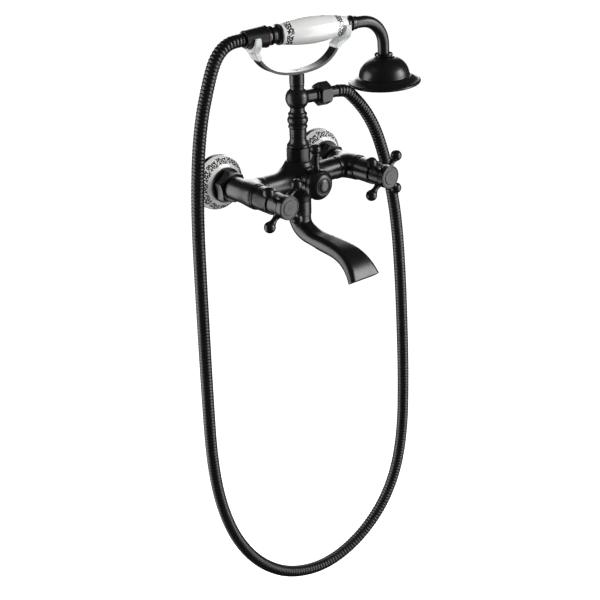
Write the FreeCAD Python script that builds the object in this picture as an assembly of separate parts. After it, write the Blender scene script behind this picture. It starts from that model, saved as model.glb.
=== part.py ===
import FreeCAD, Part
import math
import os

# Wall mounted bath filler with a telephone style hand shower.
# Frame: X to the right along the wall, -Y out of the wall, +Z up, millimetres.
# The origin is on the wall plane, midway between the two inlets, at inlet height.

V = FreeCAD.Vector

# Driving dimensions
INLET_SPACING = 150.0        # centre to centre of the hot and cold supplies
SUPPLY_THREAD_R = 10.48      # G1/2 male
UNION_THREAD_R = 13.2        # G3/4 male
FLANGE_R = 32.0              # wall flanges
ARM_R = 13.25                # the two arms that leave the wall
CROSS_R = 12.9               # tube between the arms
REACH = 57.5                 # wall to the riser and spout axis
ARM_END = 76.0               # wall to the front of each arm
BOSS_END = 75.0              # wall to the front of the diverter boss
HANDLE_PLANE = 118.5         # wall to the middle of the cross handle
HANDLE_FRONT = 130.0         # wall to the front of the index button
BALL_CIRCLE_R = 27.4         # axis to the centre of each handle ball
BALL_R = 6.5
DIVERTER_FRONT = 102.6       # wall to the front of the diverter cap
LEVER_STATION = 86.8         # wall to the lever's stem
LEVER_TOP = 40.0             # height of the lever's ball
TEE_Z = 92.8                 # height of the ball tee and the hose outlet
TEE_R = 13.3
CRADLE_Z = 122.3             # middle of the cradle band over the riser
HANDSET_Z = 166.2            # height of the hand shower's grip axis
CRADLE_TURN = 8.0            # cradle, hose and hand shower are turned about the riser
SOCKET_BOTTOM = -42.9        # joint between the fixed socket and the swivelling spout
HOSE_DIAMETER = 14.4
SLEEVE_END = 52.0            # riser axis to the end of the hose's outlet sleeve
NUT_END = -66.0              # riser axis to the hose end of the handset nut
HOSE_END_Z = 165.9           # the hose hangs a little low inside that nut
HEAD_R = 41.9
HEAD_LEAN = 2.5              # spray head leans outward from the vertical
NECK_BEND_R = 30.0
NECK_TUBE_R = 6.7
NECK_START = 66.4            # riser axis to the start of the neck tube
NECK_REACH = 117.9           # riser axis to the outermost line of the neck
NECK_END_Z = 127.1           # height of the joint between neck and head
GRIP_START = -21.1           # porcelain grip, measured from the riser axis
GRIP_END = 63.3
FIT = 0.05                   # radial running clearance of shafts and spigots

SIDES = {"hot": -1, "cold": 1}
OUT = V(0, -1, 0)
UP = V(0, 0, 1)
RIGHT = V(1, 0, 0)


# ---------------------------------------------------------------- helpers

def bowed_edge(start, end, bow):
    """Straight edge, or an arc whose middle stands `bow` outside the chord."""
    if bow == 0:
        return Part.LineSegment(start, end).toShape()
    along = end - start
    side = V(along.z, 0, -along.x)
    side.normalize()
    return Part.Arc(start, (start + end) * 0.5 + side * bow, end).toShape()


def turned(profile):
    """Solid of revolution about Z. Points are (station, radius) or (station, radius, bow)."""
    full = [(p[0], p[1], p[2] if len(p) == 3 else 0) for p in profile]
    points = [V(radius, 0, station) for station, radius, bow in full]
    edges = []
    for index, (station, radius, bow) in enumerate(full):
        edges.append(bowed_edge(points[index - 1], points[index], bow))
    face = Part.Face(Part.Wire(edges[1:] + edges[:1]))
    return face.revolve(V(0, 0, 0), UP, 360)


def rod(radius, start, end):
    """Plain cylinder on Z between two stations."""
    return Part.makeCylinder(radius, end - start, V(0, 0, start))


def ring(outer, inner, start, end):
    return rod(outer, start, end).cut(rod(inner, start - 1, end + 1))


def prism(flats, start, end, sides=6):
    """Regular prism on Z, measured across its flats."""
    corner = flats / 2 / math.cos(math.pi / sides)
    angles = [2 * math.pi * (k + 0.5) / sides for k in range(sides + 1)]
    points = [V(corner * math.cos(a), corner * math.sin(a), start) for a in angles]
    return Part.Face(Part.makePolygon(points)).extrude(V(0, 0, end - start))


def chamfered_nut(flats, start, end, sides=6, bevel=1.6):
    """Nut blank whose corners are turned off at both ends."""
    corner = flats / 2 / math.cos(math.pi / sides)
    cap = corner - bevel
    run = bevel * 0.6
    envelope = turned([(start, 0), (start, cap), (start + run, corner + 0.01),
                       (end - run, corner + 0.01), (end, cap), (end, 0)])
    return prism(flats, start, end, sides).common(envelope)


def aimed(shape, base, direction):
    """Put a shape made on +Z onto another axis."""
    turn = FreeCAD.Placement(base, FreeCAD.Rotation(UP, direction))
    return shape.transformed(turn.toMatrix(), True)


def on_arm(shape, side):
    """Stations are distances out from the wall along one arm."""
    return aimed(shape, V(side * INLET_SPACING / 2, 0, 0), OUT)


def on_front(shape):
    """Stations are distances out from the wall along the middle axis."""
    return aimed(shape, V(0, 0, 0), OUT)


def on_riser(shape):
    """Riser frame: X points to the hose outlet, Z is height."""
    turned_shape = shape.rotated(V(0, 0, 0), UP, -CRADLE_TURN)
    return turned_shape.translated(V(0, -REACH, 0))


def along_grip(shape, height=HANDSET_Z):
    """Stations are distances from the riser axis, towards the outlet side."""
    return on_riser(aimed(shape, V(0, 0, height), RIGHT))


def rounded_section(centre, heading, width, depth, corner):
    """Rounded rectangle across a heading in the YZ plane; width runs along X."""
    heading = V(0, heading[0], heading[1])
    heading.normalize()
    across = RIGHT
    normal = heading.cross(across)
    middle = V(0, centre[0], centre[1])
    radius = min(corner, width / 2 - 0.05, depth / 2 - 0.05)
    edges = []
    corners = [(1, 1), (-1, 1), (-1, -1), (1, -1)]
    ends = []
    for sx, sn in corners:
        hub = middle + across * (sx * (width / 2 - radius)) + normal * (sn * (depth / 2 - radius))
        first = across * sx if sx == sn else normal * sn
        last = normal * sn if sx == sn else across * sx
        diagonal = across * sx + normal * sn
        diagonal.normalize()
        ends.append((hub + first * radius, hub + diagonal * radius, hub + last * radius))
    for index, (start, mid, end) in enumerate(ends):
        edges.append(Part.Arc(start, mid, end).toShape())
        edges.append(Part.LineSegment(end, ends[(index + 1) % 4][0]).toShape())
    return Part.Wire(edges)


def save(name, shape):
    shape.exportStep("parts/%s.step" % name)


# ---------------------------------------------------------------- wall inlets

def wall_nipple():
    """G1/2 into the wall, G3/4 towards the faucet, hexagon socket for the key."""
    shell = turned([(-14, 5.5), (-14, 9.8), (-13.2, SUPPLY_THREAD_R), (-0.7, SUPPLY_THREAD_R),
                    (-0.7, 9.9), (12, 9.9), (12, UNION_THREAD_R), (23.4, UNION_THREAD_R),
                    (24, 12.6), (24, 5.5)])
    return shell.cut(prism(12.0, 14, 25))


def back_flange():
    """Shallow metal pan that stands on the tiles."""
    return turned([(0, 28.8), (0, 30.8), (0.5, FLANGE_R), (3.9, FLANGE_R), (5, 31.0, 0.3),
                   (5, 10.7), (3, 10.7), (3, 28.8)])


def porcelain_escutcheon():
    """Domed porcelain ring between the pan and the union nut."""
    return turned([(5.1, 24), (5.1, 31.1), (6.2, 31.6, 0.3), (17.9, 20.4, 2.0), (17.9, 14.2),
                   (14.5, 14.2), (7, 24)])


def union_nut():
    """Round shoulder against the porcelain, then a hexagon."""
    shoulder = turned([(18, 12), (18, 19.5), (18.5, 20), (20.4, 20), (21.2, 19), (21.2, 12)])
    hexagon = chamfered_nut(32.4, 20.6, 33.6, 6, 3.2).rotated(V(0, 0, 0), UP, 10)
    nut = shoulder.fuse(hexagon)
    return nut.cut(rod(13.35, 17, 29.2)).cut(rod(12.25, 29, 34))


def inlet_washers():
    washer = ring(12.9, 7, 24.05, 25.5)
    return Part.makeCompound([on_arm(washer, side) for side in SIDES.values()])


# ---------------------------------------------------------------- mixer body

def arm_outside(side):
    arm = turned([(25.6, 0), (25.6, 13.1), (29, 13.1), (29, 12.0), (34.2, 12.0), (34.2, 12.9),
                  (34.9, ARM_R, 0.1), (ARM_END - 0.4, ARM_R), (ARM_END, 12.9), (ARM_END, 0)])
    return on_arm(arm, side)


def elbow_outside(side):
    """Quarter bend that rounds the inner corner between cross tube and arm."""
    bend = ARM_END - REACH
    half = INLET_SPACING / 2
    inset = bend * (1 - math.sin(math.pi / 4))
    start = V(side * (half - bend), -REACH, 0)
    middle = V(side * (half - inset), -REACH - inset, 0)
    end = V(side * half, -ARM_END, 0)
    path = Part.Wire([Part.Arc(start, middle, end).toShape()])
    circle = Part.Wire([Part.Circle(start, RIGHT, CROSS_R).toShape()])
    return path.makePipeShell([circle], True, True)


def body_outside():
    half = INLET_SPACING / 2
    cross = Part.makeCylinder(CROSS_R, INLET_SPACING, V(-half, -REACH, 0), RIGHT)
    hub = turned([(-24.9, 0), (-24.9, 12.4), (-15, 12.4), (-8, 14.2, -0.6), (0, 15.4), (8, 15.4),
                  (20, 12.6, -0.7), (20, 9.8), (31, 9.8), (31, 0)])
    boss = on_front(turned([(REACH - 8, 0), (REACH - 8, 14.3), (BOSS_END - 0.6, 14.3),
                            (BOSS_END, 13.7), (BOSS_END, 0)]))
    body = cross.fuse([hub.translated(V(0, -REACH, 0)), boss])
    for side in SIDES.values():
        body = body.fuse([arm_outside(side), elbow_outside(side)])
    return body


def mixer_body():
    """Hollow brass casting: two arms, cross tube, riser spigot, spout thread, diverter chamber."""
    half = INLET_SPACING / 2
    waterways = [Part.makeCylinder(7.4, INLET_SPACING, V(-half, -REACH, 0), RIGHT),
                 rod(6.5, 0, 32).translated(V(0, -REACH, 0)),
                 rod(9.7, -26, -14).translated(V(0, -REACH, 0)),
                 rod(7.0, -15, 0).translated(V(0, -REACH, 0)),
                 on_front(rod(8.4, 44, 62)),
                 on_front(rod(10.2, 61.5, BOSS_END + 1))]
    for side in SIDES.values():
        waterways.append(on_arm(rod(8.0, 25, 57), side))
        waterways.append(on_arm(rod(10.2, 56, ARM_END + 1), side))
    return body_outside().cut(waterways).removeSplitter()


# ---------------------------------------------------------------- hot and cold valves

def cartridge_housing():
    """Brass headwork screwed into the arm; the discs sit in its inner end."""
    shell = turned([(58.6, 8.15), (58.6, 9.4), (66, 9.4), (66, 10.0), (76.05, 10.0), (76.05, 12.2),
                    (79, 12.2), (79, 7.4), (100, 7.4), (100, 4.0 + FIT), (67, 4.0 + FIT), (67, 8.15)])
    window = Part.makeBox(24, 7, 4, V(-12, -3.5, 60))
    return shell.cut(window)


def seat_seals():
    seal = ring(8.2, 5.2, 56.1, 58.4)
    return Part.makeCompound([on_arm(seal, side) for side in SIDES.values()])


def ported_disc(radius, start, end):
    """Ceramic disc with two quarter openings."""
    disc = rod(radius, start, end)
    port = rod(2.4, start - 1, end + 1)
    return disc.cut([port.translated(V(4, 0, 0)), port.translated(V(-4, 0, 0))])


def fixed_discs():
    disc = ported_disc(8.0, 58.5, 60.9)
    return Part.makeCompound([on_arm(disc, side) for side in SIDES.values()])


def bonnet():
    """Sleeve that hides the headwork, with a bead against the arm."""
    return turned([(76.2, 12.3), (76.2, 12.7), (77.0, 12.7), (77.2, 13.6), (80.3, 13.6, 0.5),
                   (80.8, 13.0), (81.8, 13.0), (82.2, 13.5), (103.4, 13.8), (104.4, 13.0, 0.3),
                   (104.4, 6.2), (102, 6.2), (100.4, 12.3)])


def spindle():
    """Stem from the moving disc to the handle, tapped for the handle screw."""
    stem = turned([(63.5, 0), (63.5, 7.6), (66.2, 7.6), (66.2, 4.0), (117, 4.0), (118, 3.4), (118, 0)])
    return stem.cut(rod(2.1, 108, 119))


def hub_outside():
    return turned([(105.0, 0), (105.0, 11.4), (106.2, 12.4, 0.3), (112.5, 12.2), (120.2, 12.2),
                   (121.0, 11.7), (121.8, 12.6), (123.0, 13.4, 0.3), (128.2, 13.4), (129.2, 12.6, 0.3),
                   (129.2, 0)])


def handle_hub():
    """Turned barrel with a recess for the index button and four spoke sockets."""
    hub = hub_outside().cut([rod(4.1, 104, 119), rod(4.4, 117, 127), rod(12.35, 126.9, 131)])
    return hub.cut([spoke_axis(rod(2.6, 5.5, 16), arm) for arm in range(4)])


def spoke_axis(shape, arm):
    """Turn a shape made along Z into one of the four diagonal spoke directions."""
    angle = math.radians(45 + 90 * arm)
    return aimed(shape, V(0, 0, HANDLE_PLANE), V(math.cos(angle), math.sin(angle), 0))


def handle_spokes():
    """Four waisted spokes with ball ends, each with a threaded stud."""
    neck = 3.35
    stem = turned([(6, 0), (6, 2.5), (9, 2.5), (9, 4.9), (12.6, 4.5), (19, neck, -0.55),
                   (22.4, neck + 1.1, -0.2), (BALL_CIRCLE_R, neck), (BALL_CIRCLE_R, 0)])
    spoke = stem.fuse(Part.makeSphere(BALL_R, V(0, 0, BALL_CIRCLE_R)))
    spokes = []
    for arm in range(4):
        socket = hub_outside().cut(spoke_axis(rod(2.55, 0, 20), arm))
        spokes.append(largest(spoke_axis(spoke, arm).cut(socket)))
    return Part.makeCompound(spokes)


def largest(shape):
    """The biggest solid of a cut shape."""
    return max(shape.Solids, key=lambda solid: solid.Volume)


def index_button():
    """Stepped disc that covers the handle screw."""
    return turned([(127.0, 0), (127.0, 12.25), (129.2, 12.25), (129.5, 11.7), (129.0, 11.0),
                   (129.0, 8.6), (129.6, 8.2), (HANDLE_FRONT, 7.6, 0.1), (HANDLE_FRONT, 0)])


def handle_screw():
    screw = turned([(109, 0), (109, 2.0), (119.2, 2.0), (119.2, 3.8), (123, 3.8), (123, 0)])
    return screw.cut(prism(3.0, 120.5, 124))


def build_valves():
    for name, side in SIDES.items():
        save("%s_wall_nipple" % name, on_arm(wall_nipple(), side))
        save("%s_back_flange" % name, on_arm(back_flange(), side))
        save("%s_porcelain_escutcheon" % name, on_arm(porcelain_escutcheon(), side))
        save("%s_union_nut" % name, on_arm(union_nut(), side))
        save("%s_cartridge_housing" % name, on_arm(cartridge_housing(), side))
        save("%s_bonnet" % name, on_arm(bonnet(), side))
        save("%s_moving_disc" % name, on_arm(ported_disc(7.8, 60.95, 63.4), side))
        save("%s_spindle" % name, on_arm(spindle(), side))
        save("%s_handle_hub" % name, on_arm(handle_hub(), side))
        save("%s_handle_spokes" % name, on_arm(handle_spokes(), side))
        save("%s_handle_screw" % name, on_arm(handle_screw(), side))
        save("%s_index_button" % name, on_arm(index_button(), side))
    save("inlet_washers", inlet_washers())
    save("seat_seals", seat_seals())
    save("fixed_discs", fixed_discs())
    save("mixer_body", mixer_body())


# ---------------------------------------------------------------- diverter

def diverter_housing():
    return turned([(62, 7.0), (62, 10.0), (75.05, 10.0), (75.05, 13.8), (75.5, 14.2), (77.2, 14.2),
                   (77.8, 13.7), (82.6, 13.4), (83.4, 12.8, 0.2), (83.4, 4.0 + FIT), (66, 4.0 + FIT),
                   (66, 7.0)])


def diverter_plug():
    """Rotary valve with one crossing port."""
    plug = rod(8.25, 46, 61.2)
    return plug.cut(Part.makeCylinder(4.6, 30, V(0, 0, REACH - 4), V(0, 1, 0)))


def diverter_spindle():
    return turned([(61.3, 0), (61.3, 6.6), (65.8, 6.6), (65.8, 4.0), (96, 4.0), (96, 0)])


def knob_outside():
    return turned([(83.8, 0), (83.8, 12.4), (85.0, 14.2, 0.4), (90.6, 17.3, 0.9), (97.4, 14.6, 1.2),
                   (100.6, 10.0, 0.6), (100.6, 0)])


def diverter_knob():
    knob = knob_outside().cut([rod(4.1, 83, 97), rod(9.3, 99.0, 101)])
    return knob.cut(lever_axis(rod(2.6, 8, 20)))


def lever_axis(shape):
    """Make a shape drawn along Z stand up from the knob, whose own axis is Z here."""
    return aimed(shape, V(0, 0, LEVER_STATION), V(0, 1, 0))


def diverter_lever():
    """Stem with a ball on top and a small foot ring."""
    lever = turned([(9, 0), (9, 2.5), (14, 2.5), (14, 5.2), (19.6, 5.2), (20.6, 4.6, 0.1),
                    (22, 4.2), (32.6, 4.2), (33.6, 4.8, 0.1), (34.8, 4.6), (LEVER_TOP, 3), (LEVER_TOP, 0)])
    lever = lever.fuse(Part.makeSphere(6.3, V(0, 0, LEVER_TOP)))
    socket = knob_outside().cut(lever_axis(rod(2.55, 0, 40)))
    return largest(lever_axis(lever).cut(socket))


def diverter_cap():
    """Domed cap inside a raised ring."""
    return turned([(99.05, 0), (99.05, 9.2), (101.2, 9.2), (101.6, 8.6, 0.15), (101.0, 7.9),
                   (DIVERTER_FRONT, 1.6, 0.5), (DIVERTER_FRONT, 0)])


def build_diverter():
    save("diverter_housing", on_front(diverter_housing()))
    save("diverter_plug", on_front(diverter_plug()))
    save("diverter_spindle", on_front(diverter_spindle()))
    save("diverter_knob", on_front(diverter_knob()))
    save("diverter_lever", on_front(diverter_lever()))
    save("diverter_cap", on_front(diverter_cap()))


# ---------------------------------------------------------------- riser and tee

def riser_union_nut():
    """Eight sided nut that clamps the riser to the body."""
    nut = chamfered_nut(25.2, 20.2, 37.2, 8, 1.0)
    return nut.cut([rod(9.95, 19, 35.4), rod(8.8, 34, 38)])


def riser_column():
    """Turned column: flared foot, waist, two beads and a top spigot."""
    column = turned([(32.5, 0), (32.5, 9.7), (35.2, 9.7), (35.2, 8.6), (37.4, 8.6), (37.4, 12.2),
                     (38.9, 12.9, 0.3), (40.4, 12.2, 0.3), (41.2, 11.6), (49.5, 9.6, -0.9),
                     (58.8, 9.7), (59.2, 10.4), (62.4, 10.4, 0.5), (62.8, 9.9), (64.2, 10.3),
                     (72.0, 10.3, 1.5), (72.6, 9.6), (77.0, 9.6, 1.1), (77.6, 8.9), (80, 8.35, -0.2),
                     (80, 6.0), (86, 6.0), (86, 0)])
    return column.cut(rod(4.4, 31, 87))


def riser_tee():
    """Ball tee: water comes from below and leaves sideways to the hose."""
    ball = Part.makeSphere(TEE_R, V(0, 0, TEE_Z))
    necks = turned([(80.1, 0), (80.1, 8.35), (84, 8.35), (TEE_Z, 6), (102, 7.9), (105.5, 7.8), (105.5, 0)])
    stub = turned([(0, 0), (0, 7.6), (21.5, 7.6), (22.2, 8.2, -0.1), (23.6, 9.4), (24.6, 9.4),
                   (24.6, 9.0), (36, 9.0), (36, 0)])
    tee = ball.fuse([necks, aimed(stub, V(0, 0, TEE_Z), RIGHT)])
    side_bore = aimed(rod(4.4, 0, 37), V(0, 0, TEE_Z), RIGHT)
    return tee.cut([rod(6.1, 79, 87), rod(4.4, 86, TEE_Z + 3), side_bore, rod(5.1, 99.8, 107)])


def cradle_stem():
    stem = turned([(100, 0), (100, 5.0), (105.6, 5.0), (105.6, 7.6), (106.2, 8.3), (107.4, 8.3),
                   (107.8, 7.7), (108.4, 7.7), (108.8, 8.4), (118.6, 8.4), (120.0, 8.0, 0.2),
                   (CRADLE_Z - 1.6, 8.0), (CRADLE_Z - 1.6, 0)])
    return stem.cut(rod(2.6, 110, 122))


def cradle_fork():
    """Flat band bent into a shallow U."""
    half_thickness = 1.5
    width = 14.0
    rise = [(0, 0), (18, 1.4), (33, 5.8), (44, 13.2), (51.5, 23.2)]
    middle = [(-x, z) for x, z in reversed(rise[1:])] + rise
    edges = []
    lines = []
    for offset in (-half_thickness, half_thickness):
        points = []
        for index, (x, z) in enumerate(middle):
            before = middle[max(index - 1, 0)]
            after = middle[min(index + 1, len(middle) - 1)]
            slope = math.atan2(after[1] - before[1], after[0] - before[0])
            points.append(V(x - offset * math.sin(slope), -width / 2,
                            CRADLE_Z + z + offset * math.cos(slope)))
        curve = Part.BSplineCurve()
        curve.interpolate(points)
        edges.append(curve.toShape())
        lines.append(points)
    ends = [Part.LineSegment(lines[0][k], lines[1][k]).toShape() for k in (0, -1)]
    face = Part.Face(Part.Wire([edges[0], ends[1], edges[1], ends[0]]))
    band = face.extrude(V(0, width, 0))
    return band.cut([rod(2.6, 115, 130), rod(4.9, CRADLE_Z + 0.2, 130)])


def cradle_screw():
    screw = turned([(110.2, 0), (110.2, 2.5), (CRADLE_Z + 0.3, 2.5), (CRADLE_Z + 0.3, 4.8),
                    (CRADLE_Z + 1.4, 4.8), (CRADLE_Z + 1.4, 0)])
    return screw.cut(prism(3.0, CRADLE_Z - 1, 130))


def cradle_liner(side, seat, inner):
    """Plastic yoke: a foot that grips the end of the band and two prongs round the handset."""
    wall = 2.6
    length = 8.0
    tip = V(side * 51.5, 0, CRADLE_Z + 23.2)
    outer = inner + wall
    floor = HANDSET_Z - outer
    yoke = Part.makeCylinder(outer, length, V(seat - length / 2, 0, HANDSET_Z), RIGHT)
    yoke = yoke.fuse(Part.makeBox(length, 2 * outer, 2.0, V(seat - length / 2, -outer, HANDSET_Z)))
    above = Part.makeBox(40, 60, 40, V(seat - 20, -30, HANDSET_Z + 2.0))
    channel = Part.makeCylinder(inner, 40, V(seat - 20, 0, HANDSET_Z), RIGHT)
    slot = Part.makeBox(40, 2 * inner, 10, V(seat - 20, -inner, HANDSET_Z))
    lower = [V(tip.x - 3.5, -8, tip.z - 5), V(tip.x + 3.5, -8, tip.z - 5),
             V(tip.x + 3.5, 8, tip.z - 5), V(tip.x - 3.5, 8, tip.z - 5)]
    top = floor + 4.5
    upper = [V(seat - 4, -9.5, top), V(seat + 4, -9.5, top), V(seat + 4, 9.5, top), V(seat - 4, 9.5, top)]
    foot = Part.makeLoft([Part.makePolygon(lower + lower[:1]), Part.makePolygon(upper + upper[:1])],
                         True, True)
    shell = yoke.fuse(foot).cut([above, channel, slot])
    return largest(shell.cut(cradle_fork()))


def build_riser():
    save("riser_union_nut", on_riser(riser_union_nut()))
    save("riser_seal", on_riser(ring(9.6, 6.6, 31.05, 32.4)))
    save("riser_column", on_riser(riser_column()))
    save("riser_tee", on_riser(riser_tee()))
    save("cradle_stem", on_riser(cradle_stem()))
    save("cradle_fork", on_riser(cradle_fork()))
    save("cradle_screw", on_riser(cradle_screw()))
    save("rear_cradle_liner", on_riser(cradle_liner(-1, -55.0, 11.2)))
    save("front_cradle_liner", on_riser(cradle_liner(1, 60.5, 12.0)))


# ---------------------------------------------------------------- hose

# Route of the hose in the riser frame: distance from the riser axis, height.
HOSE_ROUTE = [
    (SLEEVE_END + 0.7, TEE_Z), (61.4, 92.4), (68.6, 89.2), (76, 82), (84.8, 72.8), (96.3, 58),
    (108.3, 36.4),
    (119, 7), (130, -33), (139.3, -82), (145.6, -150), (150, -230), (152.8, -305), (152.2, -375),
    (142.4, -435), (118, -484), (78, -521), (28, -540), (-26, -531.5), (-70, -499.4), (-102.3, -452),
    (-121.8, -395), (-131.2, -330), (-132.6, -245), (-133, -120), (-132.6, -20), (-127.9, 46),
    (-120.8, 90), (-112.5, 119), (-106.5, 137.5), (-99.8, 151.6), (-90.2, 161.4), (-78.5, 165.9),
    (NUT_END - 0.9, HOSE_END_Z)]


def hose_path():
    """Straight runs joined by tangent arcs, each as large as its two runs allow."""
    points = [V(x, 0, z) for x, z in HOSE_ROUTE]
    edges = []
    start = points[0]
    for before, corner, after in zip(points, points[1:], points[2:]):
        run_in = corner - before
        run_out = after - corner
        shorter = min(run_in.Length, run_out.Length)
        half_turn = run_in.getAngle(run_out) / 2
        setback = 0.45 * shorter
        radius = setback / math.tan(half_turn)
        entry = corner - run_in * (setback / run_in.Length)
        leave = corner + run_out * (setback / run_out.Length)
        bisector = run_out * (1 / run_out.Length) - run_in * (1 / run_in.Length)
        bisector.normalize()
        middle = corner + bisector * (radius / math.cos(half_turn) - radius)
        edges.append(Part.LineSegment(start, entry).toShape())
        edges.append(Part.Arc(entry, middle, leave).toShape())
        start = leave
        print("hose bend at (%.1f, %.1f): radius %.1f mm" % (corner.x, corner.z, radius))
    edges.append(Part.LineSegment(start, points[-1]).toShape())
    return Part.Wire(edges)


def hose():
    path = hose_path()
    start = V(HOSE_ROUTE[0][0], 0, HOSE_ROUTE[0][1])
    heading = V(HOSE_ROUTE[1][0], 0, HOSE_ROUTE[1][1]) - start
    circle = Part.Wire([Part.Circle(start, heading, HOSE_DIAMETER / 2).toShape()])
    tube = path.makePipeShell([circle], True, False)
    section = math.pi * (HOSE_DIAMETER / 2) ** 2
    print("hose length %.1f mm, volume %.0f, section x length %.0f"
          % (path.Length, tube.Volume, section * path.Length))
    return tube


def hose_outlet_nut():
    nut = chamfered_nut(23.6, 24.8, 42.0, 6, 4.4).rotated(V(0, 0, 0), UP, 30)
    return nut.cut([rod(9.15, 24, 40), rod(5.6, 39, 46)])


def hose_outlet_sleeve():
    """Smooth end ferrule of the hose, held in the nut by its collar."""
    return turned([(37.6, 3.6), (37.6, 8.8), (39.8, 8.8), (39.8, 5.4), (42.3, 5.4), (42.3, 6.9),
                   (SLEEVE_END - 0.8, 6.8), (SLEEVE_END, 6.4, 0.15), (SLEEVE_END, 3.6)])


def build_hose():
    save("hose", on_riser(hose()))
    save("hose_outlet_nut", along_grip(hose_outlet_nut(), TEE_Z))
    save("hose_outlet_sleeve", along_grip(hose_outlet_sleeve(), TEE_Z))
    save("hose_outlet_washer", along_grip(ring(8.6, 4.6, 36.1, 37.5), TEE_Z))


# ---------------------------------------------------------------- hand shower

def handset_nut():
    """Tapered hand nut on the end of the hose."""
    nut = turned([(NUT_END, 0), (NUT_END, 8.9), (NUT_END + 0.8, 9.6, 0.15), (-40.5, 11.8),
                  (-37.9, 11.4, 0.5), (-36.2, 8.8, 0.4), (-36.2, 0)])
    return nut.cut(rod(7.6, NUT_END - 1, -33))


def handset_nut_ring():
    """Thin bright ring between the nut and the ferrule."""
    return ring(8.3, 5.2, -36.1, -34.5)


def rear_ferrule():
    """Spool shaped ferrule at the hose end of the grip: a flange, a waist and a wider rim."""
    return turned([(-34.4, 5.1), (-34.4, 8.7), (-33.9, 9.7, 0.15), (-32.6, 10.4, 0.15),
                   (-31.4, 10.0, 0.2), (-27.8, 9.1, -0.4), (-24.4, 10.5, -0.3), (-23.9, 11.3, 0.1),
                   (-22.0, 11.5, 0.2), (-21.2, 10.9, 0.1), (-21.2, 5.1)])


def porcelain_grip():
    """Barrel shaped porcelain sleeve."""
    return turned([(GRIP_START, 5.1), (GRIP_START, 10.7), (GRIP_START + 0.6, 11.1, 0.2),
                   (20, 15.35, 0.9), (GRIP_END - 0.7, 10.5, 1.0), (GRIP_END, 10.1, 0.15),
                   (GRIP_END, 5.1)])


def handset_core():
    """Brass tube through the porcelain; carries the hose thread at its rear end."""
    return turned([(-51, 3.4), (-51, 7.4), (-37.5, 7.4), (-37.5, 5.0), (64, 5.0), (64, 3.4)])


def front_ferrule():
    """Collar, bead and bright ring between the grip and the neck tube."""
    return turned([(GRIP_END + 0.1, 5.1), (GRIP_END + 0.1, 9.6), (64.6, 9.3, 0.2), (66.2, 8.2, -0.2),
                   (69.4, 7.6), (70.4, 8.6, 0.1), (73.2, 8.8, 0.3), (74.2, 7.6, 0.1), (77.4, 7.2),
                   (77.6, 7.6), (78.8, 7.6), (79.2, 7.0), (79.2, NECK_TUBE_R + 0.05),
                   (NECK_START, NECK_TUBE_R + 0.05), (NECK_START, 5.1)])


def neck_points():
    """Neck centre line: along the grip, a quarter bend, then down into the head."""
    lean = math.radians(HEAD_LEAN)
    bend_start = NECK_REACH - NECK_BEND_R
    hub = V(bend_start, 0, HANDSET_Z - NECK_BEND_R)
    finish = hub + V(math.cos(lean), 0, math.sin(lean)) * NECK_BEND_R
    half = (math.pi / 2 + lean) / 2
    middle = hub + V(math.cos(half), 0, math.sin(half)) * NECK_BEND_R
    down = V(math.sin(lean), 0, -math.cos(lean))
    drop = (finish.z - NECK_END_Z) / math.cos(lean)
    return V(bend_start, 0, HANDSET_Z), middle, finish, finish + down * drop, down


def handset_neck():
    start = V(NECK_START + 0.1, 0, HANDSET_Z)
    bend_start, middle, finish, end, down = neck_points()
    path = Part.Wire([Part.LineSegment(start, bend_start).toShape(),
                      Part.Arc(bend_start, middle, finish).toShape(),
                      Part.LineSegment(finish, end + down * 6).toShape()])
    outer = path.makePipeShell([Part.Wire([Part.Circle(start, RIGHT, NECK_TUBE_R).toShape()])], True, False)
    inner = path.makePipeShell([Part.Wire([Part.Circle(start, RIGHT, 4.8).toShape()])], True, False)
    return outer.cut(inner)


def on_head(shape):
    """Head stations run up the leaning head axis; zero is the end of the neck."""
    bend_start, middle, finish, end, down = neck_points()
    return on_riser(aimed(shape, end, down * -1))


def head_collar():
    """Low ring on the crown of the head, dished towards the neck."""
    return turned([(-4.0, NECK_TUBE_R + 0.1), (-4.0, 9.4), (-3.2, 10.3, -0.1), (-1.6, 10.9, -0.1),
                   (-1.1, 10.5, 0.1), (-1.6, 9.8), (-2.6, 8.6, -0.2), (-2.7, NECK_TUBE_R + 0.1)])


def head_bell():
    """Domed shell that steps out into a wide dished rim with a rounded lower edge."""
    outside = [(-36.0, 38.6), (-35.6, 39.8, 0.2), (-34.0, HEAD_R, 0.4), (-32.6, 41.5, 0.3),
               (-31.9, 40.3, 0.1), (-28.2, 33.2, -0.5), (-26.6, 30.2, 0.2), (-25.8, 29.3, -0.2),
               (-5.4, 12.6, 4.2), (-4.1, 10.4, 0.1)]
    inside = [(-4.1, NECK_TUBE_R + 0.1), (-6.6, NECK_TUBE_R + 0.1), (-6.6, 10.4),
              (-25.0, 26.8, -3.8), (-31.4, 30.8, 0.3), (-32.4, 36.4), (-36.0, 36.4)]
    return turned(outside + inside)


def spray_plate():
    """Perforated face held inside the rim."""
    plate = turned([(-36.2, 0), (-36.2, 34.8), (-35.4, 36.2, 0.2), (-33.8, 36.2), (-33.8, 0)])
    holes = []
    for row, count in ((9, 6), (17, 12), (25, 18), (32, 24)):
        for k in range(count):
            angle = 2 * math.pi * k / count
            holes.append(rod(0.9, -38, -32).translated(V(row * math.cos(angle), row * math.sin(angle), 0)))
    return plate.cut(holes)


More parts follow.
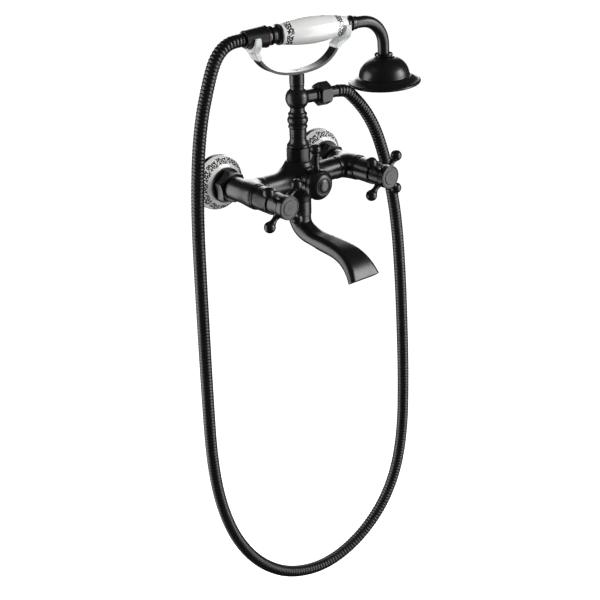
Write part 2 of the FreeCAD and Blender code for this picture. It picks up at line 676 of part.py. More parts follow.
def build_handset():
    save("hose_handset_nut", along_grip(handset_nut()))
    save("handset_nut_ring", along_grip(handset_nut_ring()))
    save("handset_rear_ferrule", along_grip(rear_ferrule()))
    save("handset_grip", along_grip(porcelain_grip()))
    save("handset_core_tube", along_grip(handset_core()))
    save("handset_front_ferrule", along_grip(front_ferrule()))
    save("handset_neck", on_riser(handset_neck()))
    save("head_collar", on_head(head_collar()))
    save("head_bell", on_head(head_bell()))
    save("spray_plate", on_head(spray_plate()))


# ---------------------------------------------------------------- spout

def spout_socket():
    """Fixed socket under the body; its bore takes the spout's spigot."""
    return turned([(SOCKET_BOTTOM, 9.0), (SOCKET_BOTTOM, 13.0), (SOCKET_BOTTOM + 0.6, 13.6),
                   (-25.8, 13.6), (-25.1, 13.0), (-25.1, 9.6), (-14.2, 9.6), (-14.2, 7.2),
                   (-26, 7.2), (-26, 9.0)])


# Spout stations: place (y, z), heading, width, depth, corner radius.
SPOUT_STATIONS = [
    ((-57.5, -43.1), (0, -1), 26.2, 26.2, 13.2),
    ((-57.9, -48.5), (-0.14, -0.99), 25.8, 25.6, 13.2),
    ((-62.4, -56.6), (-0.60, -0.80), 24.8, 22.4, 11.2),
    ((-75.2, -63.2), (-0.93, -0.36), 24.6, 18.8, 9),
    ((-98.9, -66.6), (-0.99, -0.11), 25.8, 17.0, 8),
    ((-122.8, -68.2), (-0.99, -0.13), 29.0, 16.4, 7.6),
    ((-142.8, -72.6), (-0.92, -0.40), 33.6, 15.4, 7.0),
    ((-156.0, -81.2), (-0.74, -0.67), 38.4, 13.6, 6.2),
    ((-164.4, -92.0), (-0.60, -0.80), 43.0, 11.6, 5.2)]


def spout():
    """Swan shaped spout that widens into a flat mouth, with a spigot for the socket."""
    wall = 2.6
    outer = [rounded_section(*station) for station in SPOUT_STATIONS]
    inner = []
    for place, heading, width, depth, corner in SPOUT_STATIONS:
        inner.append(rounded_section(place, heading, width - 2 * wall, depth - 2 * wall, corner - wall))
    last = SPOUT_STATIONS[-1]
    beyond = (last[0][0] + 2 * last[1][0], last[0][1] + 2 * last[1][1])
    inner.append(rounded_section(beyond, last[1], last[2] - 2 * wall, last[3] - 2 * wall, last[4] - wall))
    shell = Part.makeLoft(outer, True, False).cut(Part.makeLoft(inner, True, False))
    spigot = turned([(-45.5, 6.4), (-45.5, 12.0), (-43.1, 12.0), (-43.1, 9.0 - FIT), (-39.0, 9.0 - FIT),
                     (-39.0, 7.8), (-37.2, 7.8), (-37.2, 9.0 - FIT), (-33.0, 9.0 - FIT), (-33.0, 7.8),
                     (-31.2, 7.8), (-31.2, 9.0 - FIT), (-28, 9.0 - FIT), (-28, 6.4)])
    return shell.fuse(spigot.translated(V(0, -REACH, 0)))


def spout_o_rings():
    rings = [Part.makeTorus(8.35, 0.55, V(0, -REACH, z)) for z in (-38.1, -32.1)]
    return Part.makeCompound(rings)


def build_spout():
    save("spout_socket", spout_socket().translated(V(0, -REACH, 0)))
    save("spout", spout())
    save("spout_o_rings", spout_o_rings())


os.makedirs("parts", exist_ok=True)
build_valves()
build_diverter()
build_riser()
build_hose()
build_handset()
build_spout()
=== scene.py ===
import itertools
import math

import bpy
import numpy as np
from mathutils import Matrix, Vector


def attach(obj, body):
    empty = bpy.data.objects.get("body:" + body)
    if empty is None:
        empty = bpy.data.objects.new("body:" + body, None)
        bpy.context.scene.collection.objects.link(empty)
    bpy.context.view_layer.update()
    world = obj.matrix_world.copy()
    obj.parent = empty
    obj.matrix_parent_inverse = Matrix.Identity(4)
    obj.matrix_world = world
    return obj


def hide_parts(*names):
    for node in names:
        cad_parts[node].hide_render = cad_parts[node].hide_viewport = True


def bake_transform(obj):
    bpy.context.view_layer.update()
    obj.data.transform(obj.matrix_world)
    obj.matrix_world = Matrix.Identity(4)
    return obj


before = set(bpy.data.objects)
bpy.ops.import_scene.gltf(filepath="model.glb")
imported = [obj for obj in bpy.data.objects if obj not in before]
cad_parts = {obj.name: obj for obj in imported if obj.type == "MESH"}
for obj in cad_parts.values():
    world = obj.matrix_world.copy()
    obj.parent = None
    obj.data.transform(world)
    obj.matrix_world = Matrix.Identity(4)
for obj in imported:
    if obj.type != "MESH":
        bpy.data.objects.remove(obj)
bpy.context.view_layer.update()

# Looks of a wall mounted bath filler with a telephone style hand shower.
# Lengths are millimetres unless a name says metres; MM turns them into metres.

MM = 0.001
REACH = 57.5                 # wall to the riser and spout axis
HALF_SPACING = 75.0          # middle to either inlet
ARM_R = 13.25
CROSS_R = 12.9
ARM_END = 76.0
BOSS_END = 75.0
TEE_Z = 92.8
HANDSET_Z = 166.2
CRADLE_TURN = math.radians(8)
HOSE_R = 7.2
RING_PITCH = 4.0             # from one ring of the hose to the next
SLEEVE_END = 52.0
NUT_END = -66.0
HOSE_END_Z = 165.9
EDGE_WEAR = 0.3              # how softly sharp edges catch the light


# ---------------------------------------------------------------- placing

def columns(x, y, z, origin):
    """Matrix that carries a shape's own axes to these directions, in metres."""
    matrix = Matrix((x, y, z)).transposed().to_4x4()
    matrix.translation = Vector(origin) * MM
    return matrix


TURN_X = Vector((math.cos(CRADLE_TURN), -math.sin(CRADLE_TURN), 0))
TURN_Y = Vector((math.sin(CRADLE_TURN), math.cos(CRADLE_TURN), 0))
UP = Vector((0, 0, 1))


def riser_point(r, z):
    """A point in the plane of the hose and the hand shower, in metres."""
    return (Vector((0, -REACH, z)) + TURN_X * r) * MM


# ---------------------------------------------------------------- camera

CAMERA_AZIMUTH = math.radians(40.345)       # to the left of straight out of the wall
CAMERA_ELEVATION = math.radians(23.587)
CAMERA_ROLL = math.radians(-1.317)
CAMERA_PLACE = (-891.7, -1104.1, 448.8)
FOCAL_LENGTH = 75.93
SENSOR_WIDTH = 36


def make_camera():
    azimuth, elevation, roll = CAMERA_AZIMUTH, CAMERA_ELEVATION, CAMERA_ROLL
    back = Vector((-math.sin(azimuth) * math.cos(elevation),
                   -math.cos(azimuth) * math.cos(elevation), math.sin(elevation)))
    level = Vector((math.cos(azimuth), -math.sin(azimuth), 0))
    upright = back.cross(level)
    right = math.cos(roll) * level + math.sin(roll) * upright
    up = math.cos(roll) * upright - math.sin(roll) * level
    data = bpy.data.cameras.new("camera")
    data.lens = FOCAL_LENGTH
    data.sensor_width = SENSOR_WIDTH
    camera = bpy.data.objects.new("camera", data)
    camera.matrix_world = columns(right, up, back, CAMERA_PLACE)
    bpy.context.scene.collection.objects.link(camera)
    bpy.context.scene.camera = camera


# ---------------------------------------------------------------- node materials

class Shader:
    """A node material with short calls for the nodes used here."""

    def __init__(self, name, color, roughness, metallic=0.0):
        self.material = bpy.data.materials.new(name)
        self.material.use_nodes = True
        self.tree = self.material.node_tree
        self.surface = self.tree.nodes["Principled BSDF"]
        self.set("Base Color", (*color, 1))
        self.set("Roughness", roughness)
        self.set("Metallic", metallic)
        self.place = self.add("ShaderNodeTexCoord").outputs["Object"]

    def add(self, kind, **settings):
        node = self.tree.nodes.new(kind)
        for key, value in settings.items():
            setattr(node, key, value)
        return node

    def set(self, socket, value):
        self.surface.inputs[socket].default_value = value

    def join(self, source, target):
        self.tree.links.new(source, target)

    def feed(self, socket, source):
        self.join(source, self.surface.inputs[socket])

    def noise(self, scale, detail=2.0, stretch=None):
        node = self.add("ShaderNodeTexNoise")
        node.inputs["Scale"].default_value = scale
        node.inputs["Detail"].default_value = detail
        source = self.place
        if stretch:
            mapping = self.add("ShaderNodeMapping")
            mapping.inputs["Scale"].default_value = stretch
            self.join(source, mapping.inputs["Vector"])
            source = mapping.outputs["Vector"]
        self.join(source, node.inputs["Vector"])
        return node.outputs["Fac"]

    def math(self, operation, *values):
        node = self.add("ShaderNodeMath", operation=operation)
        for socket, value in zip(node.inputs, values):
            if isinstance(value, (int, float)):
                socket.default_value = value
            else:
                self.join(value, socket)
        return node.outputs[0]

    def spread(self, source, low, high, start=0.3, end=0.7):
        node = self.add("ShaderNodeMapRange")
        node.inputs["From Min"].default_value = start
        node.inputs["From Max"].default_value = end
        node.inputs["To Min"].default_value = low
        node.inputs["To Max"].default_value = high
        self.join(source, node.inputs["Value"])
        return node.outputs["Result"]

    def blend(self, factor, first, second):
        node = self.add("ShaderNodeMix", data_type="RGBA")
        self.join(factor, node.inputs["Factor"])
        for socket, color in ((node.inputs[6], first), (node.inputs[7], second)):
            socket.default_value = (*color, 1)
        return node.outputs[2]

    def bump(self, height, strength, distance):
        """Relief on top of slightly worn edges."""
        edges = self.add("ShaderNodeBevel", samples=4)
        edges.inputs["Radius"].default_value = EDGE_WEAR * MM
        node = self.add("ShaderNodeBump")
        node.inputs["Strength"].default_value = strength
        node.inputs["Distance"].default_value = distance * MM
        self.join(edges.outputs["Normal"], node.inputs["Normal"])
        self.join(height, node.inputs["Height"])
        self.feed("Normal", node.outputs["Normal"])

    def along(self, origin, direction):
        """Distance from a point along a direction, in millimetres."""
        offset = self.add("ShaderNodeVectorMath", operation="SUBTRACT")
        self.join(self.place, offset.inputs[0])
        offset.inputs[1].default_value = Vector(origin) * MM
        dot = self.add("ShaderNodeVectorMath", operation="DOT_PRODUCT")
        self.join(offset.outputs[0], dot.inputs[0])
        dot.inputs[1].default_value = direction
        return self.math("MULTIPLY", dot.outputs["Value"], 1 / MM)

    def length(self, first, second):
        return self.math("SQRT", self.math("ADD", self.math("MULTIPLY", first, first),
                                           self.math("MULTIPLY", second, second)))

    def inside(self, distance, soft=0.12):
        """One where a distance is negative, zero where it is positive."""
        return self.spread(distance, 1, 0, -soft, soft)

    def any_of(self, masks):
        total = masks[0]
        for mask in masks[1:]:
            total = self.math("MAXIMUM", total, mask)
        return total

    def blossom(self, across, along, petals, radius, wave, turn=0.0):
        """Lobed flower or leaf about a point."""
        span = self.length(across, along)
        angle = self.math("ARCTAN2", along, across)
        lobes = self.math("COSINE", self.math("MULTIPLY_ADD", angle, petals, turn))
        edge = self.math("MULTIPLY_ADD", lobes, wave, radius)
        return self.inside(self.math("SUBTRACT", span, edge))

    def floral_band(self, around, across, pitch, size):
        """Repeating painted scroll: a rosette, leaves, curls, buds and a vine. Millimetres."""
        around = self.math("DIVIDE", around, size)
        across = self.math("DIVIDE", across, size)
        pitch /= size
        wrapped = self.math("WRAP", around, pitch / 2, -pitch / 2)
        span = self.length(wrapped, across)
        rosette = self.blossom(wrapped, across, 5, 2.2, 0.8, 1.5)
        eye = self.inside(self.math("SUBTRACT", span, 0.6))
        masks = [self.math("MULTIPLY", rosette, self.math("SUBTRACT", 1, eye))]
        wave = self.math("SINE", self.math("MULTIPLY", wrapped, 2 * math.pi / pitch))
        vine = self.math("ABSOLUTE", self.math("MULTIPLY_ADD", wave, -1.7, across))
        clear = self.inside(self.math("SUBTRACT", 2.9, span))
        stem = self.inside(self.math("SUBTRACT", vine, 0.48))
        masks.append(self.math("MULTIPLY", stem, clear))
        for side in (-1, 1):
            leaf_x = self.math("ADD", wrapped, -side * 0.29 * pitch)
            leaf_y = self.math("ADD", across, side * 1.3)
            masks.append(self.blossom(leaf_x, leaf_y, 3, 1.35, 0.6, side * 1.2))
            curl_x = self.math("ADD", wrapped, -side * 0.36 * pitch)
            curl_y = self.math("ADD", across, -side * 2.0)
            ring = self.math("ABSOLUTE", self.math("SUBTRACT", self.length(curl_x, curl_y), 1.0))
            masks.append(self.inside(self.math("SUBTRACT", ring, 0.42)))
            bud_x = self.math("ADD", wrapped, -side * 0.16 * pitch)
            bud_y = self.math("ADD", across, -side * 2.6)
            masks.append(self.blossom(bud_x, bud_y, 2, 0.85, 0.3))
        return self.any_of(masks)


def satin_black(name, color, roughness, grain=900, depth=0.02):
    """Baked paint over metal: an even fine grain and slow changes of gloss."""
    shader = Shader(name, color, roughness)
    shader.set("Specular IOR Level", 0.6)
    cloud = shader.noise(45, 3)
    shader.feed("Roughness", shader.spread(cloud, roughness - 0.035, roughness + 0.045))
    darker = [0.86 * c for c in color]
    lighter = [1.12 * c for c in color]
    tint = shader.blend(shader.noise(70, 2), darker, lighter)
    shader.feed("Base Color", tint)
    shader.bump(shader.noise(grain, 2), 0.35, depth)
    return shader.material


def brushed(name, color, roughness, stretch):
    """Turned metal with fine tool marks."""
    shader = Shader(name, color, roughness, 1.0)
    marks = shader.noise(1400, 2, stretch)
    shader.feed("Roughness", shader.spread(marks, roughness - 0.06, roughness + 0.1))
    tint = shader.blend(shader.noise(120, 2), [0.85 * c for c in color], color)
    shader.feed("Base Color", tint)
    shader.bump(marks, 0.25, 0.02)
    return shader.material


def plain_soft(name, color, roughness, grain):
    shader = Shader(name, color, roughness)
    shader.feed("Roughness", shader.spread(shader.noise(60), roughness - 0.06, roughness + 0.06))
    shader.feed("Base Color", shader.blend(shader.noise(90), [0.85 * c for c in color], color))
    shader.bump(shader.noise(grain), 0.3, 0.03)
    return shader.material


SCROLL_BLACK = (0.012, 0.012, 0.014)


def glazed_white(name, white, bands):
    """White glaze over black scroll work; each band gives places around and across it."""
    shader = Shader(name, white, 0.16)
    shader.set("Coat Weight", 0.4)
    shader.set("Coat Roughness", 0.06)
    shader.feed("Roughness", shader.spread(shader.noise(35), 0.14, 0.22))
    painted = shader.any_of([bounded_band(shader, *band(shader)) for band in bands])
    shader.feed("Base Color", shader.blend(painted, white, SCROLL_BLACK))
    relief = shader.math("MULTIPLY_ADD", painted, 0.15, shader.noise(55, 1))
    shader.bump(relief, 0.12, 0.15)
    return shader.material


def bounded_band(shader, around, across, pitch, half, size):
    """Scroll work that stops at the two edges of its band."""
    limit = shader.inside(shader.math("SUBTRACT", shader.math("ABSOLUTE", across), half))
    return shader.math("MULTIPLY", shader.floral_band(around, across, pitch, size), limit)


# Scroll work of the wall escutcheons: radius of its middle, motifs round it, half its width.
ESCUTCHEON_SCROLL = (26.9, 12, 3.3)
GRIP_SCROLL_R = 12.0


def escutcheon_band(side):
    """Motifs near the rim of a wall escutcheon."""
    middle, motifs, half = ESCUTCHEON_SCROLL

    def place(shader):
        x = shader.along((side * HALF_SPACING, 0, 0), (1, 0, 0))
        z = shader.along((0, 0, 0), UP)
        around = shader.math("MULTIPLY", shader.math("ARCTAN2", z, x), middle)
        across = shader.math("SUBTRACT", shader.length(x, z), middle)
        return around, across, 2 * math.pi * middle / motifs, half, 1.0
    return place


def grip_band(station, half, motifs, size):
    """Motifs of one size round the porcelain grip."""

    def place(shader):
        origin = (0, -REACH, HANDSET_Z)
        side = shader.along(origin, TURN_Y)
        high = shader.along(origin, UP)
        around = shader.math("MULTIPLY", shader.math("ARCTAN2", high, side), GRIP_SCROLL_R)
        across = shader.math("SUBTRACT", shader.along(origin, TURN_X), station)
        return around, across, 2 * math.pi * GRIP_SCROLL_R / motifs, half, size
    return place


INDEX_GREY = (0.07, 0.071, 0.074)
INDEX_MARK = (0.03, 0.03, 0.032)


def index_paint(name, side, letter):
    """Grey index disc with a faint letter cut into it."""
    shader = Shader(name, INDEX_GREY, 0.5)
    x = shader.along((side * HALF_SPACING, 0, 0), (1, 0, 0))
    z = shader.along((0, 0, 0), UP)
    size_x = shader.math("ABSOLUTE", x)
    size_z = shader.math("ABSOLUTE", z)
    if letter == "H":
        post = shader.math("ABSOLUTE", shader.math("SUBTRACT", size_x, 2.0))
        posts = shader.math("MAXIMUM", shader.math("SUBTRACT", post, 0.45),
                            shader.math("SUBTRACT", size_z, 2.9))
        bar = shader.math("MAXIMUM", shader.math("SUBTRACT", size_x, 2.0),
                          shader.math("SUBTRACT", size_z, 0.4))
        shape = shader.math("MINIMUM", posts, bar)
    else:
        bow = shader.math("ABSOLUTE", shader.math("SUBTRACT", shader.length(x, z), 2.7))
        gap = shader.math("SUBTRACT", shader.math("SUBTRACT", x, size_z), 0.1)
        shape = shader.math("MAXIMUM", shader.math("SUBTRACT", bow, 0.45), gap)
    mark = shader.inside(shape)
    shader.feed("Base Color", shader.blend(mark, INDEX_GREY, INDEX_MARK))
    shader.feed("Roughness", shader.spread(shader.noise(60), 0.44, 0.56))
    shader.bump(shader.math("MULTIPLY_ADD", mark, -4.0, shader.noise(1200)), 0.3, 0.04)
    return shader.material


def frosted_plastic(name):
    shader = Shader(name, (0.70, 0.73, 0.72), 0.42)
    shader.set("Transmission Weight", 0.12)
    shader.set("Subsurface Weight", 0.35)
    shader.set("Subsurface Radius", (0.004, 0.005, 0.005))
    shader.feed("Roughness", shader.spread(shader.noise(80), 0.4, 0.52))
    shader.bump(shader.noise(500), 0.25, 0.03)
    return shader.material


PAINT_BLACK = (0.0034, 0.0034, 0.0035)


def make_materials():
    return {
        "matte_black": satin_black("satin_black_paint", PAINT_BLACK, 0.31),
        "hose_black": satin_black("black_hose_metal", PAINT_BLACK, 0.33, 1500, 0.01),
        "spray_face": satin_black("black_spray_plastic", (0.008, 0.008, 0.008), 0.4, 700, 0.03),
        "brass": brushed("turned_brass", (0.74, 0.52, 0.22), 0.3, (1, 0.05, 1)),
        "screw_steel": brushed("screw_steel", (0.55, 0.55, 0.56), 0.35, (1, 0.05, 1)),
        "bright_ring": brushed("bright_ring", (0.5, 0.47, 0.45), 0.3, (0.05, 1, 1)),
        "valve_ceramic": plain_soft("valve_ceramic", (0.85, 0.84, 0.80), 0.4, 900),
        "rubber": plain_soft("seal_rubber", (0.02, 0.02, 0.02), 0.8, 600),
        "liner_plastic": frosted_plastic("frosted_liner_plastic"),
    }


def make_own_finishes():
    """Finishes that belong to one part because their painting is placed on it."""
    bright = (0.9, 0.9, 0.885)
    # soft is the escutcheons' white glaze painted darker for the grip: painted shade over the whole
    # grip, not a different porcelain.
    soft = (0.74, 0.74, 0.73)
    grip_bands = [grip_band(-14.0, 6.8, 5, 1.3), grip_band(51.8, 5.5, 5, 1.3)]
    return {
        "hot_porcelain_escutcheon": glazed_white("hot_escutcheon_glaze", bright,
                                                 [escutcheon_band(-1)]),
        "cold_porcelain_escutcheon": glazed_white("cold_escutcheon_glaze", bright,
                                                  [escutcheon_band(1)]),
        "handset_grip": glazed_white("grip_glaze", soft, grip_bands),
        "hot_index_button": index_paint("hot_index_paint", -1, "H"),
        "cold_index_button": index_paint("cold_index_paint", 1, "C"),
    }


def dress_cad(materials):
    own = make_own_finishes()
    own["cradle_screw"] = materials["matte_black"]
    for name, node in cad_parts.items():
        for slot in node.material_slots:
            slot.material = own.get(name) or materials[slot.material.name.split(".")[0]]


# ---------------------------------------------------------------- mesh building

def finish_piece(name, points, faces, material, body, nodes):
    mesh = bpy.data.meshes.new(name)
    mesh.from_pydata(points, [], faces)
    mesh.validate()
    mesh.shade_smooth()
    mesh.materials.append(material)
    piece = bpy.data.objects.new(name, mesh)
    bpy.context.scene.collection.objects.link(piece)
    if body:
        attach(piece, body)
    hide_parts(*nodes)
    return piece


def field_mesh(field, low, high, cell):
    """Points, quads and normals of the zero level of a distance field, in millimetres."""
    axes = [np.arange(a, b + cell, cell) for a, b in zip(low, high)]
    inside = field(np.stack(np.meshgrid(*axes, indexing="ij"), -1)) < 0
    size = [n - 1 for n in inside.shape]
    count = np.zeros(size, int)
    for i, j, k in itertools.product((0, 1), repeat=3):
        count += inside[i:i + size[0], j:j + size[1], k:k + size[2]]
    mixed = (count > 0) & (count < 8)
    index = np.full(size, -1)
    index[mixed] = np.arange(mixed.sum())
    points = np.argwhere(mixed) * cell + np.array(low) + cell / 2
    for _ in range(5):
        normals = gradient(field, points)
        points = points - field(points)[:, None] * normals
    faces = []
    for axis in range(3):
        one, two = [a for a in range(3) if a != axis]
        lower = np.moveaxis(inside, (axis, one, two), (0, 1, 2))
        cells = np.moveaxis(index, (axis, one, two), (0, 1, 2))
        crossing = lower[:-1, 1:-1, 1:-1] != lower[1:, 1:-1, 1:-1]
        leaving = lower[:-1, 1:-1, 1:-1] & crossing
        around = np.stack([cells[:, :-1, :-1], cells[:, 1:, :-1],
                           cells[:, 1:, 1:], cells[:, :-1, 1:]], -1)
        flip = axis == 1
        faces.append(around[leaving][:, ::-1] if flip else around[leaving])
        entering = crossing & ~leaving
        faces.append(around[entering] if flip else around[entering][:, ::-1])
    return points, np.concatenate(faces), gradient(field, points)


def gradient(field, points, step=0.02):
    slopes = []
    for axis in range(3):
        offset = np.zeros(3)
        offset[axis] = step
        slopes.append(field(points + offset) - field(points - offset))
    slope = np.stack(slopes, -1)
    return slope / np.linalg.norm(slope, axis=-1, keepdims=True).clip(1e-9)


def smooth_join(first, second, width):
    """Union of two distances with a fillet between them."""
    h = np.clip(0.5 + 0.5 * (second - first) / width, 0, 1)
    return second + (first - second) * h - width * h * (1 - h)


def capped_rod(across, along, radius, half, edge):
    """Distance to a cylinder with rounded rims."""
    d = np.stack([across - radius + edge, np.abs(along) - half + edge], -1)
    return np.minimum(d.max(-1), 0) + np.linalg.norm(np.maximum(d, 0), axis=-1) - edge


# ---------------------------------------------------------------- mixer body

ARM_START = 34.2             # wall to the back of the thick part of each arm
GROOVE_R = 12.0              # narrow ring behind the thick part
SEAT_R = 13.1                # collar that the union nut draws up to
HUB_R = 12.6
BOSS_R = 14.3
SPIGOT_R = 9.7
HUB_FILLET = 24.0


def body_field(p):
    """Cross tube, elbows, arms, hub and diverter boss flowing into each other."""
    x, y, z = np.abs(p[..., 0]), -p[..., 1], p[..., 2]
    bend = ARM_END - REACH
    cross = capped_rod(np.hypot(y - REACH, z), x, CROSS_R, HALF_SPACING - bend + 2, 0.1)
    corner_x = x - (HALF_SPACING - bend)
    corner_y = ARM_END - y
    sweep = np.hypot(np.hypot(corner_x, corner_y) - bend, z) - ARM_R + 0.2
    elbow = np.maximum(np.maximum(sweep, -corner_x - 2), -corner_y - 0.5)
    from_arm = np.hypot(x - HALF_SPACING, z)
    arm_middle = (ARM_START + ARM_END) / 2
    arm = capped_rod(from_arm, y - arm_middle, ARM_R, (ARM_END - ARM_START) / 2, 0.8)
    groove = capped_rod(from_arm, y - 31, GROOVE_R, 5, 0.3)
    seat = capped_rod(from_arm, y - 27.2, SEAT_R, 1.7, 0.4)
    pipe = smooth_join(cross, elbow, 2.0)
    pipe = smooth_join(pipe, arm, 7.0)
    pipe = np.minimum(np.minimum(pipe, groove), seat)
    across = np.hypot(x, y - REACH)
    hub = capped_rod(across, z + 2.4, HUB_R, 22.4, 0.5)
    body = smooth_join(pipe, hub, HUB_FILLET)
    boss_middle = (REACH + BOSS_END) / 2
    boss = capped_rod(np.hypot(x, z), y - boss_middle, BOSS_R, (BOSS_END - REACH) / 2, 0.7)
    body = smooth_join(body, boss, 5.0)
    spigot = capped_rod(across, z - 22, SPIGOT_R, 9, 0.3)
    return np.minimum(body, spigot)


def make_mixer_body(materials):
    edge = HALF_SPACING + ARM_R + 2
    low = (-edge, -ARM_END - 2, -27)
    high = (edge, -23, 33)
    points, faces, normals = field_mesh(body_field, low, high, 0.9)
    body = finish_piece("cast_mixer_body", (points * MM).tolist(), faces.tolist(),
                        materials["matte_black"], "root", ["mixer_body"])
    body.data.normals_split_custom_set_from_vertices(normals.tolist())


# ---------------------------------------------------------------- cradle liners

LINER_WALL = 2.6
FORK_TIP = (51.5, 145.5)     # end of the cradle band: distance from the riser axis, height


def liner_field(p, side, seat, inner):
    """Open yoke under the hand shower that flows into a sleeve over the end of the band."""
    r, width, z = p[..., 0], p[..., 1], p[..., 2]
    high = z - HANDSET_Z
    around = np.hypot(width, high)
    low = np.clip(-high / inner, 0, 1)
    reach = 3.4 + 1.4 * low
    edge = 0.8
    half_wall = (LINER_WALL + 1.4 * low) / 2
    wall = np.stack([np.abs(around - inner - half_wall) - half_wall + edge,
                     np.abs(r - seat) - reach + edge], -1)
    yoke = np.minimum(wall.max(-1), 0) + np.linalg.norm(np.maximum(wall, 0), axis=-1) - edge
    tip = smooth_cut(yoke, high - 1.8, 1.6)
    start = np.array([seat, HANDSET_Z - inner - 1.6])
    end = np.array([side * (FORK_TIP[0] - 0.8), FORK_TIP[1] - 0.6])
    run = end - start
    offset = np.stack([r, z], -1) - start
    share = np.clip((offset @ run) / (run @ run), 0, 1)
    beside = np.linalg.norm(offset - share[..., None] * run, axis=-1)
    flat = np.stack([beside - 2.0, np.abs(width) - 7.2 + 0.6 * share], -1)
    sleeve = np.minimum(flat.max(-1), 0) + np.linalg.norm(np.maximum(flat, 0), axis=-1) - 1.1
    return smooth_cut(smooth_join(tip, sleeve, 3.5), inner - around, 0.4)


def smooth_cut(first, second, width):
    """Overlap of two distances with a softened edge."""
    return -smooth_join(-first, -second, width)


def make_liner(name, node, side, seat, inner, materials):
    outer = inner + LINER_WALL + 3
    low = (min(seat, side * FORK_TIP[0]) - 9, -outer, FORK_TIP[1] - 11)
    high = (max(seat, side * FORK_TIP[0]) + 9, outer, HANDSET_Z + 4)
    points, faces, normals = field_mesh(lambda p: liner_field(p, side, seat, inner),
                                        low, high, 0.7)
    turn = np.array([TURN_X, TURN_Y, UP])
    points = points @ turn + np.array([0, -REACH, 0])
    liner = finish_piece(name, (points * MM).tolist(), faces.tolist(),
                         materials["liner_plastic"], "root", [node])
    liner.data.normals_split_custom_set_from_vertices((normals @ turn).tolist())


# ---------------------------------------------------------------- hose

# The hose in the riser's plane: distance from the riser axis, height.
HOSE_ROUTE = [
    (SLEEVE_END + 0.7, TEE_Z), (61.4, 92.4), (68.6, 89.2), (76, 82), (84.8, 72.8), (96.3, 58),
    (108.3, 36.4),
    (119, 7), (130, -33), (139.3, -82), (145.6, -150), (150, -230), (152.8, -305), (152.2, -375),
    (142.4, -435), (118, -484), (78, -521), (28, -540), (-26, -531.5), (-70, -499.4), (-102.3, -452),
    (-121.8, -395), (-131.2, -330), (-132.6, -245), (-133, -120), (-132.6, -20), (-127.9, 46),
    (-120.8, 90), (-112.5, 119), (-106.5, 137.5), (-99.8, 151.6), (-90.2, 161.4), (-78.5, 165.9),
    (NUT_END - 0.9, HOSE_END_Z)]


def hose_line():
    """Points along the smooth centre line of the hose, in metres."""
    data = bpy.data.curves.new("hose_line", "CURVE")
    data.dimensions = "3D"
    data.resolution_u = 24
    spline = data.splines.new("NURBS")
    spline.points.add(len(HOSE_ROUTE) - 1)
    for point, place in zip(spline.points, HOSE_ROUTE):
        point.co = (*riser_point(*place), 1)
    spline.order_u = 3
    spline.use_endpoint_u = True
    holder = bpy.data.objects.new("hose_line", data)
    line = bpy.data.meshes.new_from_object(holder)
    points = [vertex.co.copy() for vertex in line.vertices]
    bpy.data.objects.remove(holder)
    bpy.data.curves.remove(data)
    bpy.data.meshes.remove(line)
    return points


# One ring of the hose: share of the pitch, depth below the crest.
RING_SHAPE = [(0.0, 0.75), (0.07, 0.42), (0.18, 0.08), (0.5, 0.0), (0.82, 0.08), (0.93, 0.42)]
HOSE_SIDES = 28


def make_hose(materials):
    """Tube of interlocking rings on the hose's centre line."""
    line = hose_line()
    place = np.array(line)
    run = np.concatenate([[0], np.cumsum(np.linalg.norm(np.diff(place, axis=0), axis=1))])
    rings = round(run[-1] / (RING_PITCH * MM))
    stations = [(ring + share) / rings * run[-1]
                for ring in range(rings) for share, depth in RING_SHAPE]
    depths = [depth for ring in range(rings) for share, depth in RING_SHAPE]
    stations.append(run[-1])
    depths.append(RING_SHAPE[0][1])
    centres = np.stack([np.interp(stations, run, place[:, k]) for k in range(3)], -1)
    along = np.gradient(centres, np.array(stations), axis=0)
    along /= np.linalg.norm(along, axis=1)[:, None]
    side = np.array(TURN_Y)
    outward = np.cross(along, side)
    points = []
    faces = []
    for centre, out, depth in zip(centres, outward, depths):
        radius = (HOSE_R - depth) * MM
        for k in range(HOSE_SIDES):
            angle = 2 * math.pi * k / HOSE_SIDES
            points.append(centre + radius * (math.cos(angle) * out + math.sin(angle) * side))
    for ring in range(len(centres) - 1):
        for k in range(HOSE_SIDES):
            a = ring * HOSE_SIDES + k
            b = ring * HOSE_SIDES + (k + 1) % HOSE_SIDES
            faces.append((a, b, b + HOSE_SIDES, a + HOSE_SIDES))
    last = (len(centres) - 1) * HOSE_SIDES
    faces.append(tuple(range(HOSE_SIDES - 1, -1, -1)))
    faces.append(tuple(range(last, last + HOSE_SIDES)))
    hose = finish_piece("ringed_hose", points, faces, materials["hose_black"], None,
                        ["hose"])
    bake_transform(hose)


# ---------------------------------------------------------------- stage and light

ROOM = 6                     # middle of the studio to its walls and ceiling, in metres
FLOOR = -1.2
LIGHT_AIM = Vector((0, -0.06, 0))


def make_stage():
    """White floor far below and white walls all round, lit evenly by their own glow."""
    white = bpy.data.materials.new("studio_white")
    white.use_nodes = True
    glow = white.node_tree.nodes["Principled BSDF"]
    glow.inputs["Base Color"].default_value = (0.9, 0.9, 0.9, 1)
    glow.inputs["Roughness"].default_value = 0.9
    glow.inputs["Emission Color"].default_value = (1, 1, 1, 1)
    glow.inputs["Emission Strength"].default_value = 1.0
    corners = list(itertools.product((-ROOM, ROOM), (-ROOM, ROOM), (FLOOR, ROOM)))
    sides = [(0, 1, 3, 2), (4, 5, 7, 6), (0, 1, 5, 4), (2, 3, 7, 6), (0, 2, 6, 4), (1, 3, 7, 5)]
    mesh = bpy.data.meshes.new("studio_room")
    mesh.from_pydata(corners, [], sides)
    mesh.materials.append(white)
    room = bpy.data.objects.new("studio_room", mesh)
    bpy.context.scene.collection.objects.link(room)
    room.visible_glossy = False
    room.visible_diffuse = False
    room.visible_shadow = False


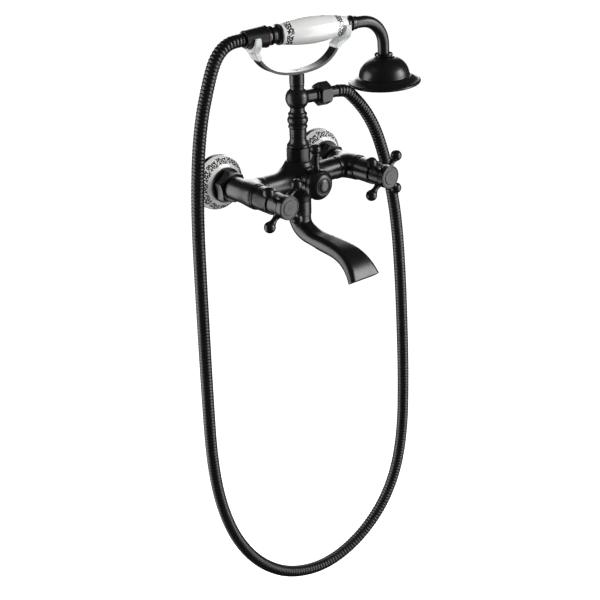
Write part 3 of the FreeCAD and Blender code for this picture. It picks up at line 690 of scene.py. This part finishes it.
def softbox(name, azimuth, elevation, distance, width, height, radiance, mirrored=True):
    """Panel aimed at the faucet; azimuth runs from straight out of the wall towards the right."""
    turn = math.radians(azimuth)
    rise = math.radians(elevation)
    away = Vector((math.sin(turn) * math.cos(rise), -math.cos(turn) * math.cos(rise), math.sin(rise)))
    data = bpy.data.lights.new(name, "AREA")
    data.shape = "RECTANGLE"
    data.size = width
    data.size_y = height
    data.energy = radiance * math.pi * width * height
    lamp = bpy.data.objects.new(name, data)
    lamp.location = LIGHT_AIM + away * distance
    lamp.rotation_mode = "QUATERNION"
    lamp.rotation_quaternion = (-away).to_track_quat("-Z", "Y")
    lamp.visible_camera = False
    lamp.visible_glossy = mirrored
    bpy.context.scene.collection.objects.link(lamp)


def make_light():
    world = bpy.data.worlds.new("studio")
    world.use_nodes = True
    world.node_tree.nodes["Background"].inputs["Color"].default_value = (1, 1, 1, 1)
    world.node_tree.nodes["Background"].inputs["Strength"].default_value = 0.05
    scene = bpy.context.scene
    scene.world = world
    scene.view_settings.view_transform = "Standard"
    softbox("left_softbox", azimuth=-128, elevation=-10, distance=1.6,
            width=1.3, height=2.2, radiance=3.5)
    softbox("right_softbox", azimuth=38, elevation=-2, distance=1.7,
            width=1.2, height=2.4, radiance=3.6)
    softbox("right_key", azimuth=43, elevation=20, distance=1.6,
            width=0.5, height=0.6, radiance=8.0)
    softbox("back_softbox", azimuth=140, elevation=14, distance=1.7,
            width=1.0, height=0.9, radiance=4.0)
    softbox("soft_front_fill", azimuth=-60, elevation=25, distance=2.2,
            width=2.2, height=2.2, radiance=1.6, mirrored=False)
    softbox("soft_top_fill", azimuth=20, elevation=75, distance=2.2,
            width=2.0, height=2.0, radiance=1.0, mirrored=False)


make_camera()
materials = make_materials()
dress_cad(materials)
make_hose(materials)
make_mixer_body(materials)
make_liner("rear_yoke_liner", "rear_cradle_liner", side=-1, seat=-55.0, inner=11.2,
           materials=materials)
make_liner("front_yoke_liner", "front_cradle_liner", side=1, seat=60.5, inner=12.0,
           materials=materials)
make_stage()
make_light()
